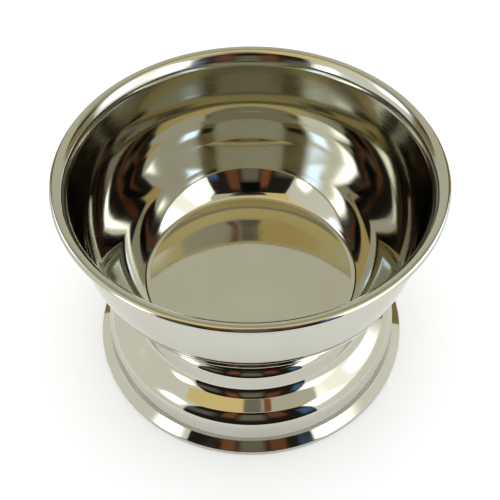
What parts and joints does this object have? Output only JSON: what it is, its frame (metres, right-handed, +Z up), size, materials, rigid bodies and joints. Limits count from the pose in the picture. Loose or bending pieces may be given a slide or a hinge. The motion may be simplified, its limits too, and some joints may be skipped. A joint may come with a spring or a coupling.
{
  "type": "champagne bucket",
  "caption": "Wide round metal champagne bucket with a turned-out rolled lip, on a hollow stepped pedestal foot with a bevelled base ring.",
  "frame": {"origin": "on the bowl's axis, in the plane that the base ring stands on", "axes": "+Z up along the bowl's axis; the piece is round, so X and Y are free"},
  "size_m": [0.22, 0.22, 0.1465],
  "materials": {
    "polished_bowl": "mirror polished, faintly warm, with fine polishing lines round the axis",
    "polished_foot": "mirror polished, faintly warm",
    "wire": "plain drawn wire",
    "fixing": "zinc plated"
  },
  "bodies": {
    "root": {"bowl_shell": "polished_bowl", "rim_wire": "wire", "foot_shell": "polished_foot", "base_ring": "polished_foot", "mount_stud": "fixing", "load_washer": "fixing", "spring_washer": "fixing", "hex_nut": "fixing"}
  },
  "joints": []
}
